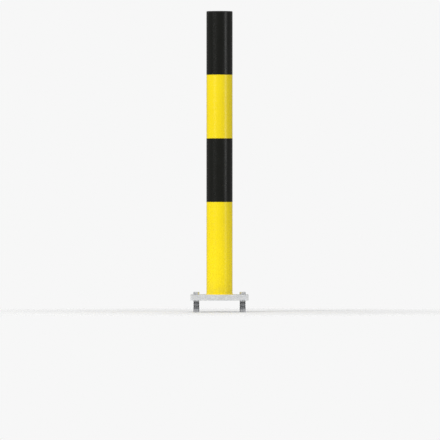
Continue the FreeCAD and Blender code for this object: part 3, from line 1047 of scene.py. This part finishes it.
def build_plate():
    """Square plate with five holes, in quads small enough to carry slight waves."""
    shape = Shape()
    for is_top in (True, False):
        for i in range(CELLS):
            for j in range(CELLS):
                add_cell(shape, i, j, is_top)
    loop = rim_loop()
    rows = []
    for out, z, wear in rim_profile():
        row = []
        for x, y, normal in loop:
            # only the upright part of the rim is wavy
            dip = plate_wave(x, y, z * 0.4, 0.10) if wear == 0.0 else 0.0
            reach = out - dip
            row.append(shape.point(x + normal.x * reach, y + normal.y * reach, z, wear))
        rows.append(row)
    shape.skin(rows)
    shape.build(
        "galvanised_base_plate", "bollard", "base_plate", "galvanised_steel", sharp=40, merge=2e-5
    )


# ------------------------------------------------------------------ anchors
HEX_ACROSS = 18.0  # across the flats
HEX_ROUNDING = 0.45
HEX_ARC = 4  # steps round each corner
HEX_FLAT = 8  # steps along each flat
HEAD_HEIGHT = 7.5
HEAD_FLAT = 8.55  # radius of the head's flat top
PITCH = 1.75
THREAD_MAJOR = 5.97
THREAD_MINOR = 5.06

TEETH = 12
TOOTH_SLOT = 0.75  # half the gap between teeth
TOOTH_TWIST = 0.13
TOOTH_THINNING = 0.14

SHIELD_RADIUS = 10.0
GROOVE_RADIUS = 8.9
GROOVE_TOPS = (-6.2, -13.2, -20.2)
GROOVE_WIDTH = 3.0
SEGMENT_STEPS = 26
SEGMENT_GAP = 1.2  # half the gap between segments
SEGMENT_BEVEL = 0.16

ANCHOR_SEGMENTS = 96
WIRE_RADIUS = 0.5
SPRING_RADIUS = 9.42
SPRING_OPENING = math.radians(24)


def piece_axis(node):
    """Centre in X and Y, bottom and top of a CAD piece."""
    low, high = box_mm(node)
    return ((low.x + high.x) / 2, (low.y + high.y) / 2), low.z, high.z


def anchor_axis(corner):
    return (
        ANCHOR_AT if "right" in corner else -ANCHOR_AT,
        ANCHOR_AT if "back" in corner else -ANCHOR_AT,
    )


def hex_loop():
    """Points round a hexagon with rounded corners, two corners on the X axis."""
    tip_radius = HEX_ACROSS / math.sqrt(3)

    def on_corner(i, k):
        turn = TAU * i / 6
        tip = Vector((tip_radius * math.cos(turn), tip_radius * math.sin(turn)))
        centre = tip - tip.normalized() * (HEX_ROUNDING / math.cos(math.radians(30)))
        angle = turn + math.radians(-30 + 60 * k / HEX_ARC)
        return Vector((
            centre.x + HEX_ROUNDING * math.cos(angle), centre.y + HEX_ROUNDING * math.sin(angle)
        ))

    points = []
    for i in range(6):
        points += [on_corner(i, k) for k in range(HEX_ARC + 1)]
        begin, stop = points[-1].copy(), on_corner(i + 1, 0)
        points += [begin.lerp(stop, k / HEX_FLAT) for k in range(1, HEX_FLAT)]
    return points


def thread_height(turn):
    """Share of the thread's depth along one pitch: crest, flank, root, flank."""
    turn %= 1.0
    if turn < 0.125:
        return 1.0
    if turn < 0.4375:
        return 1.0 - (turn - 0.125) / 0.3125
    if turn < 0.6875:
        return 0.0
    return (turn - 0.6875) / 0.3125


def head_rows(shape, loop, top):
    """The bolt's head: coned top, six sides and the step under it."""
    seat = top - HEAD_HEIGHT

    def cone(radius):
        return top - max(0.0, radius - HEAD_FLAT) * math.tan(math.radians(30))

    def round_row(radius, z, wear):
        return [
            shape.point(p.x / p.length * radius, p.y / p.length * radius, z, wear) for p in loop
        ]

    def cone_row(radii, wear):
        return [
            shape.point(*(p / p.length * radius), cone(radius), wear)
            for p, radius in zip(loop, radii)
        ]

    rows = [[shape.point(0, 0, top, 0)]]
    for radius in (2.5, 5.0, 7.4, HEAD_FLAT - 0.25, HEAD_FLAT - 0.08, HEAD_FLAT + 0.1):
        drop = 0.03 if radius > HEAD_FLAT - 0.2 else 0
        rows.append(round_row(radius, cone(radius) - drop, 0.8 if radius > 8 else 0.0))
    for share in (0.35, 0.7):
        radii = [HEAD_FLAT + (p.length - HEAD_FLAT) * share for p in loop]
        rows.append(cone_row(radii, 0.2))
    rows.append(cone_row([p.length - 0.14 for p in loop], 1.0))
    rows.append([shape.point(p.x, p.y, cone(p.length) - 0.18, 1.0) for p in loop])
    for level in (top - 2.4, top - 4.0, top - 5.6, seat + 0.75):
        rows.append([
            shape.point(
                p.x, p.y, min(level, cone(p.length) - 0.5), smooth((p.length - 9.9) / 0.35)
            )
            for p in loop
        ])
    for share, rise, wear in ((0.992, 0.42, 0.9), (0.972, 0.30, 0.6)):
        rows.append([shape.point(p.x * share, p.y * share, seat + rise, wear) for p in loop])
    # radius, height over the seat, wear
    for radius, rise, wear in (
        (8.62, 0.28, 0.0), (8.50, 0.0, 0.6), (6.55, 0.0, 0.0), (6.15, -0.12, 0.0),
    ):
        rows.append(round_row(radius, seat + rise, wear))
    return rows


def thread_rows(shape, angles, body_top, tip):
    """The right-hand thread, fading out at its top and tapered at the tip."""
    count = int((body_top - tip) / PITCH * 10)  # ten rows a pitch
    rows = []
    for k in range(count + 1):
        z = body_top + (tip - body_top) * k / count
        fade = smooth((body_top - z) / 2.2)
        entry = max(0.0, 1.25 - (z - tip))
        least = THREAD_MINOR - 0.3 if entry > 0.9 else 0.0
        row = []
        for angle in angles:
            height = thread_height((z / PITCH) - angle / TAU)
            depth = 1 - fade * (1 - height)
            radius = THREAD_MINOR + (THREAD_MAJOR - THREAD_MINOR) * depth
            radius = max(min(radius, THREAD_MAJOR - entry), least)
            row.append(shape.polar(radius, angle, z, 0.25 * height * fade))
        rows.append(row)
    return rows


def build_bolt(corner):
    """Hexagon bolt, threaded to the head."""
    node = f"anchor_bolt_{corner}"
    axis, tip, top = piece_axis(node)
    shape = Shape(axis)
    loop = hex_loop()
    angles = [math.atan2(p.y, p.x) for p in loop]
    rows = head_rows(shape, loop, top)
    rows += thread_rows(shape, angles, top - HEAD_HEIGHT - 0.55, tip)
    rows.append(shape.ring(4.2, tip, 0.0, angles))
    rows.append([shape.point(0, 0, tip, 0)])
    shape.skin(rows)
    shape.build(f"hex_bolt_{corner}", f"bolt_{corner}", node, "zinc_plated_steel", sharp=38)


def tooth_outline():
    """The washer's outer edge: radius, angle, and place across the tooth from -1 to 1."""
    half = TAU / TEETH / 2
    points = []
    for i in range(TEETH):
        angle = TAU * i / TEETH
        room = half - TOOTH_SLOT / 10.15
        for k in range(7):
            across = -1 + 2 * k / 6
            points.append((10.22, angle + room * across, across))
        gap = angle + half
        for radius in (9.2, 8.45):
            points.append((radius, gap - TOOTH_SLOT / radius, 0.8))
        points.append((8.15, gap, 0.0))
        for radius in (8.45, 9.2):
            points.append((radius, gap + TOOTH_SLOT / radius, -0.8))
    return points


def build_washer(corner):
    """Toothed lock washer: flat ring with slightly twisted teeth."""
    node = f"lock_washer_{corner}"
    axis, bottom, top = piece_axis(node)
    shape = Shape(axis)
    middle = (bottom + top) / 2
    outline = tooth_outline()
    angles = [angle for _, angle, _ in outline]

    def tooth_row(shrink, half_thick, side, wear):
        row = []
        for radius, angle, across in outline:
            tooth = smooth((radius - 8.2) / 1.2)
            thick = half_thick - TOOTH_THINNING * tooth
            z = middle + TOOTH_TWIST * tooth * across + side * thick
            row.append(shape.polar(radius - shrink, angle, z, wear))
        return row

    rows = [
        shape.ring(radius, z, 0.3, angles)
        for radius, z in (
            (6.5, middle - 0.36), (6.5, middle + 0.36), (6.62, top - 0.02), (7.5, top),
        )
    ]
    # inset from the edge, half thickness, side, wear
    for shrink, half_thick, side, wear in (
        (0.12, 0.5, 1, 0.7), (0.0, 0.38, 1, 0.9), (0.0, 0.38, -1, 0.9), (0.12, 0.5, -1, 0.7),
    ):
        rows.append(tooth_row(shrink, half_thick, side, wear))
    rows.append(shape.ring(7.5, bottom, 0.0, angles))
    rows.append(shape.ring(6.62, bottom + 0.02, 0.3, angles))
    shape.skin(rows, loop=True)
    shape.build(
        f"tooth_washer_{corner}", f"washer_{corner}", node, "zinc_plated_steel", sharp=35
    )


def bore_radius(z):
    """Radius of the shield's tapered bore: 9.0 at z = -30.6, 7.4 at the taper's top."""
    return 9.0 + (z + 30.6) / 10.6 * (7.4 - 9.0)


def segment_outline(bottom, top):
    """Section of a shield segment: radius, height, wear."""
    inner, outer = 6.5, SHIELD_RADIUS
    points = [(inner, top, 0.25), (9.15, top, 0.25), (9.15, -3.6, 0.12), (outer, -3.6, 0.22)]
    for z in GROOVE_TOPS:
        points += [
            (outer, z, 0.28), (GROOVE_RADIUS, z - 0.35, 0.25),
            (GROOVE_RADIUS, z - GROOVE_WIDTH + 0.35, 0.25), (outer, z - GROOVE_WIDTH, 0.28),
        ]
    points += [
        (outer, bottom, 0.15), (bore_radius(bottom) + 0.05, bottom, 0.12),
        (bore_radius(-19.0) + 0.05, -19.0, 0.3), (inner, -17.8, 0.3),
    ]
    # only the outer corners are rubbed bright
    return [
        (radius, z, wear if radius > 9.6 else 0.0)
        for radius, z, wear in soften(points, loop=True, support=0.5, steps=3)
    ]


def build_segment(number, corner):
    """A quarter of the shield, ribbed outside, tapered inside and parted on the diagonals."""
    node = f"shield_segment_{number}_{corner}"
    low, high = box_mm(node)
    shape = Shape(anchor_axis(corner))
    outline = segment_outline(low.z, high.z)
    bevel = SEGMENT_BEVEL
    first = math.radians(45 + 90 * (number - 1))
    last = SEGMENT_STEPS + 2
    # the columns next to the two parted faces stand back a little for the broken edge
    set_back = {1: 0.12, last - 1: -0.12}
    columns = []
    for k in range(last + 1):
        share = min(1.0, max(0.0, (k - 1) / SEGMENT_STEPS))
        column = []
        for radius, z, wear in outline:
            gap = math.asin(SEGMENT_GAP / radius)
            angle = first + gap + (math.pi / 2 - 2 * gap) * share
            angle += set_back.get(k, 0.0) / radius
            if k in (0, last):
                radius = min(max(radius, 6.5 + bevel), SHIELD_RADIUS - bevel)
                z = min(max(z, low.z + bevel), high.z - bevel)
                wear = max(wear, 0.5)
            column.append(shape.polar(radius, angle, z, wear))
        columns.append(column)
    shape.skin(columns)
    shape.faces.append(tuple(columns[0]))
    shape.faces.append(tuple(reversed(columns[-1])))
    shape.build(
        f"shield_{number}_{corner}", "bollard", node, "shield_steel", sharp=34, merge=1e-6
    )


def build_collar(corner):
    node = f"shield_collar_{corner}"
    axis, bottom, top = piece_axis(node)
    shape = Shape(axis)
    points = [
        (9.2, top, 0.15), (SHIELD_RADIUS, top, 0.42),
        (SHIELD_RADIUS, bottom, 0.25), (9.2, bottom, 0.15),
    ]
    shape.lathe(soften(points, loop=True, support=0.4), ANCHOR_SEGMENTS, loop=True)
    shape.build(f"collar_ring_{corner}", "bollard", node, "zinc_plated_steel")


def build_spring(corner):
    """Open ring of round wire with domed ends, its gap towards +Y."""
    node = f"shield_spring_ring_{corner}"
    _, bottom, top = piece_axis(node)
    shape = Shape(anchor_axis(corner))
    middle = (bottom + top) / 2
    start, sweep = math.radians(90) + SPRING_OPENING / 2, TAU - SPRING_OPENING
    steps = 120
    section = full_turn(14)

    def wire_row(angle, radius, wear):
        return [
            shape.polar(
                SPRING_RADIUS + radius * math.cos(turn), angle, middle + radius * math.sin(turn),
                wear,
            )
            for turn in section
        ]

    rows = [wire_row(start + sweep * k / steps, WIRE_RADIUS, 0.3) for k in range(steps + 1)]
    domes = []
    for end, side in ((start, -1), (start + sweep, 1)):
        dome = []
        for share in (0.45, 0.8):
            angle = end + side * WIRE_RADIUS * share * 0.8 / SPRING_RADIUS
            dome.append(wire_row(angle, WIRE_RADIUS * math.sqrt(1 - share**2), 0.6))
        angle = end + side * WIRE_RADIUS * 0.85 / SPRING_RADIUS
        dome.append([shape.polar(SPRING_RADIUS, angle, middle, 0.6)])
        domes.append(dome)
    shape.skin(domes[0][::-1] + rows + domes[1])
    shape.build(f"spring_ring_{corner}", "bollard", node, "zinc_plated_steel")


def build_nut(corner):
    """Wedge nut: chamfered base, cone above it, and four keys for the shield's slots."""
    node = f"wedge_nut_{corner}"
    axis, bottom, top = piece_axis(node)
    shape = Shape(axis)
    base = bottom + 9.4  # top of the base
    points = [
        (6.65, bottom, 0.2), (8.5, bottom, 0.3), (10.0, bottom + 1.5, 0.3),
        (10.0, base - 0.05, 0.25), (9.0, base - 0.05, 0.1), (7.4, top, 0.2),
        (6.05, top, 0.15), (6.05, bottom + 0.6, 0.2),
    ]
    shape.lathe(soften(points, loop=True, support=0.5), ANCHOR_SEGMENTS, loop=True)
    side = soften([
        (6.7, base - 0.9, 0), (9.2, base - 0.9, 0.2), (9.2, -26.6, 0.2),
        (8.0, -25.0, 0.2), (6.7, -25.0, 0),
    ], loop=True, support=0.3)
    keys = []
    for quarter in range(4):
        key = Shape(axis)
        angle = math.radians(45 + 90 * quarter)
        cos, sin = math.cos(angle), math.sin(angle)
        rows = [
            [
                key.point(radius * cos - half * sin, radius * sin + half * cos, z, 0.5 * wear)
                for radius, z, wear in side
            ]
            for half in (-1.0, 1.0)
        ]
        key.skin(rows)
        key.faces.append(tuple(reversed(rows[0])))
        key.faces.append(tuple(rows[1]))
        keys.append(key)
    shape.build(f"cone_nut_{corner}", "bollard", node, "zinc_plated_steel", fuse=keys)


build_tube()
build_weld()
build_band("black_band_top", "film_band_top")
build_band("black_band_lower", "film_band_lower")
build_cap()
build_plate()
for where in CORNERS:
    build_bolt(where)
    build_washer(where)
    for number in (1, 2, 3, 4):
        build_segment(number, where)
    build_collar(where)
    build_spring(where)
    build_nut(where)


# -------------------------------------------------------------------- stage
FLOOR_Z = CAD_LO.z - 0.0004
FLOOR_RADII = (0.3, 0.6, 0.9, 1.3)
FLOOR_SEGMENTS = 96
KEY_PLACE = (-2.4, -2.6, 1.9)
SENSOR_WIDTH = 36.0
LENS = 600.0
VIEW_WIDTH = 1.5224  # width seen at the post
VIEW_X, VIEW_Z = 0.00173, 0.2778


def floor_material():
    """Pale, fading out towards the rim, and clear from below."""
    mat = Mat("studio_floor")
    length = mat.node("VectorMath", {0: mat.place}, operation="LENGTH").outputs["Value"]
    fade = mat.ramp(length, start=0.34, end=1.25)
    below = mat.node("NewGeometry").outputs["Backfacing"]
    clear = mat.node("Math", {0: fade, 1: below}, operation="MAXIMUM").outputs[0]
    mat.colour = mat.uneven(scale=35.0, low=0.855, high=0.88)
    for key, value in (
        ("Base Color", mat.colour), ("Roughness", 0.7), ("Specular IOR Level", 0.2),
    ):
        mat.put(mat.shader.inputs[key], value)
    mixed = mat.node("MixShader", {
        0: clear, 1: mat.shader.outputs[0], 2: mat.node("BsdfTransparent").outputs[0],
    })
    mat.put(mat.surface, mixed.outputs[0])
    return mat.material


def build_floor():
    """Round studio floor just under the lowest piece."""
    mesh = bpy.data.meshes.new("studio_floor")
    bm = bmesh.new()
    centre = bm.verts.new((0, 0, FLOOR_Z))
    rows = [
        [
            bm.verts.new((radius * math.cos(angle), radius * math.sin(angle), FLOOR_Z))
            for angle in full_turn(FLOOR_SEGMENTS)
        ]
        for radius in FLOOR_RADII
    ]
    for i in range(FLOOR_SEGMENTS):
        bm.faces.new((centre, rows[0][i], rows[0][(i + 1) % FLOOR_SEGMENTS]))
    for inner, outer in zip(rows, rows[1:]):
        for i in range(FLOOR_SEGMENTS):
            j = (i + 1) % FLOOR_SEGMENTS
            bm.faces.new((inner[i], outer[i], outer[j], inner[j]))
    bm.to_mesh(mesh)
    bm.free()
    floor = bpy.data.objects.new("studio_floor", mesh)
    scene.collection.objects.link(floor)
    mesh.materials.append(floor_material())


def build_world():
    """White surroundings, dimmer from below and, in reflections, dimmer at eye level."""
    world = bpy.data.worlds.new("studio")
    world.use_nodes = True
    nodes = Nodes(world.node_tree)
    ground = world.node_tree.nodes["Background"]
    nodes.put(ground.inputs[0], (1.0, 1.0, 1.0))
    ray = nodes.node("LightPath").outputs
    direction = nodes.node("TexCoord").outputs["Generated"]
    height = nodes.node("SeparateXYZ", {0: direction}).outputs[2]
    mirrored = nodes.ramp(height, start=0.05, end=0.80, low=0.28, high=0.80)
    lighting = nodes.ramp(height, start=-0.25, end=0.35, low=0.30, high=0.62)
    backdrop = 0.93
    strength = nodes.blend(ray["Is Glossy Ray"], lighting, mirrored)
    strength = nodes.blend(ray["Is Camera Ray"], strength, backdrop)
    nodes.put(ground.inputs[1], strength)
    scene.world = world


def softbox(name, place, width, height, power, aim_z=0.45):
    """A rectangular light aimed at the post's axis at height aim_z, unseen by the camera."""
    data = bpy.data.lights.new(name, "AREA")
    data.shape = "RECTANGLE"
    data.size = width
    data.size_y = height
    data.energy = power
    lamp = bpy.data.objects.new(name, data)
    lamp.location = place
    aim = Vector((0, 0, aim_z)) - Vector(place)
    lamp.rotation_euler = aim.to_track_quat("-Z", "Y").to_euler()
    lamp.visible_camera = False
    scene.collection.objects.link(lamp)
    return lamp


def build_lights():
    # the key lights the colours; the shine, which shiny faces mirror, is dimmer, so that
    # no flat face burns out
    key = softbox("key_light", KEY_PLACE, width=1.1, height=2.4, power=84)
    key.visible_glossy = False
    shine = softbox("key_shine", KEY_PLACE, width=1.5, height=2.7, power=22)
    shine.visible_diffuse = False
    softbox("fill_light", (2.8, -1.9, 1.3), width=0.9, height=2.2, power=18)
    back = softbox("back_light", (0.6, 2.9, 2.2), width=1.6, height=1.6, power=22, aim_z=0.5)
    back.visible_glossy = False


def build_camera():
    """A long lens looking level from the front."""
    data = bpy.data.cameras.new("camera")
    data.sensor_width = SENSOR_WIDTH
    data.lens = LENS
    data.clip_start = 0.5
    data.clip_end = 100.0
    camera = bpy.data.objects.new("camera", data)
    camera.location = (VIEW_X, -VIEW_WIDTH * LENS / SENSOR_WIDTH, VIEW_Z)
    camera.rotation_euler = (math.pi / 2, 0.0, 0.0)
    scene.collection.objects.link(camera)
    scene.camera = camera


build_floor()
build_world()
build_lights()
build_camera()

scene.view_settings.view_transform = "Standard"
scene.view_settings.look = "None"
scene.view_settings.exposure = 0.0
scene.view_settings.gamma = 1.0
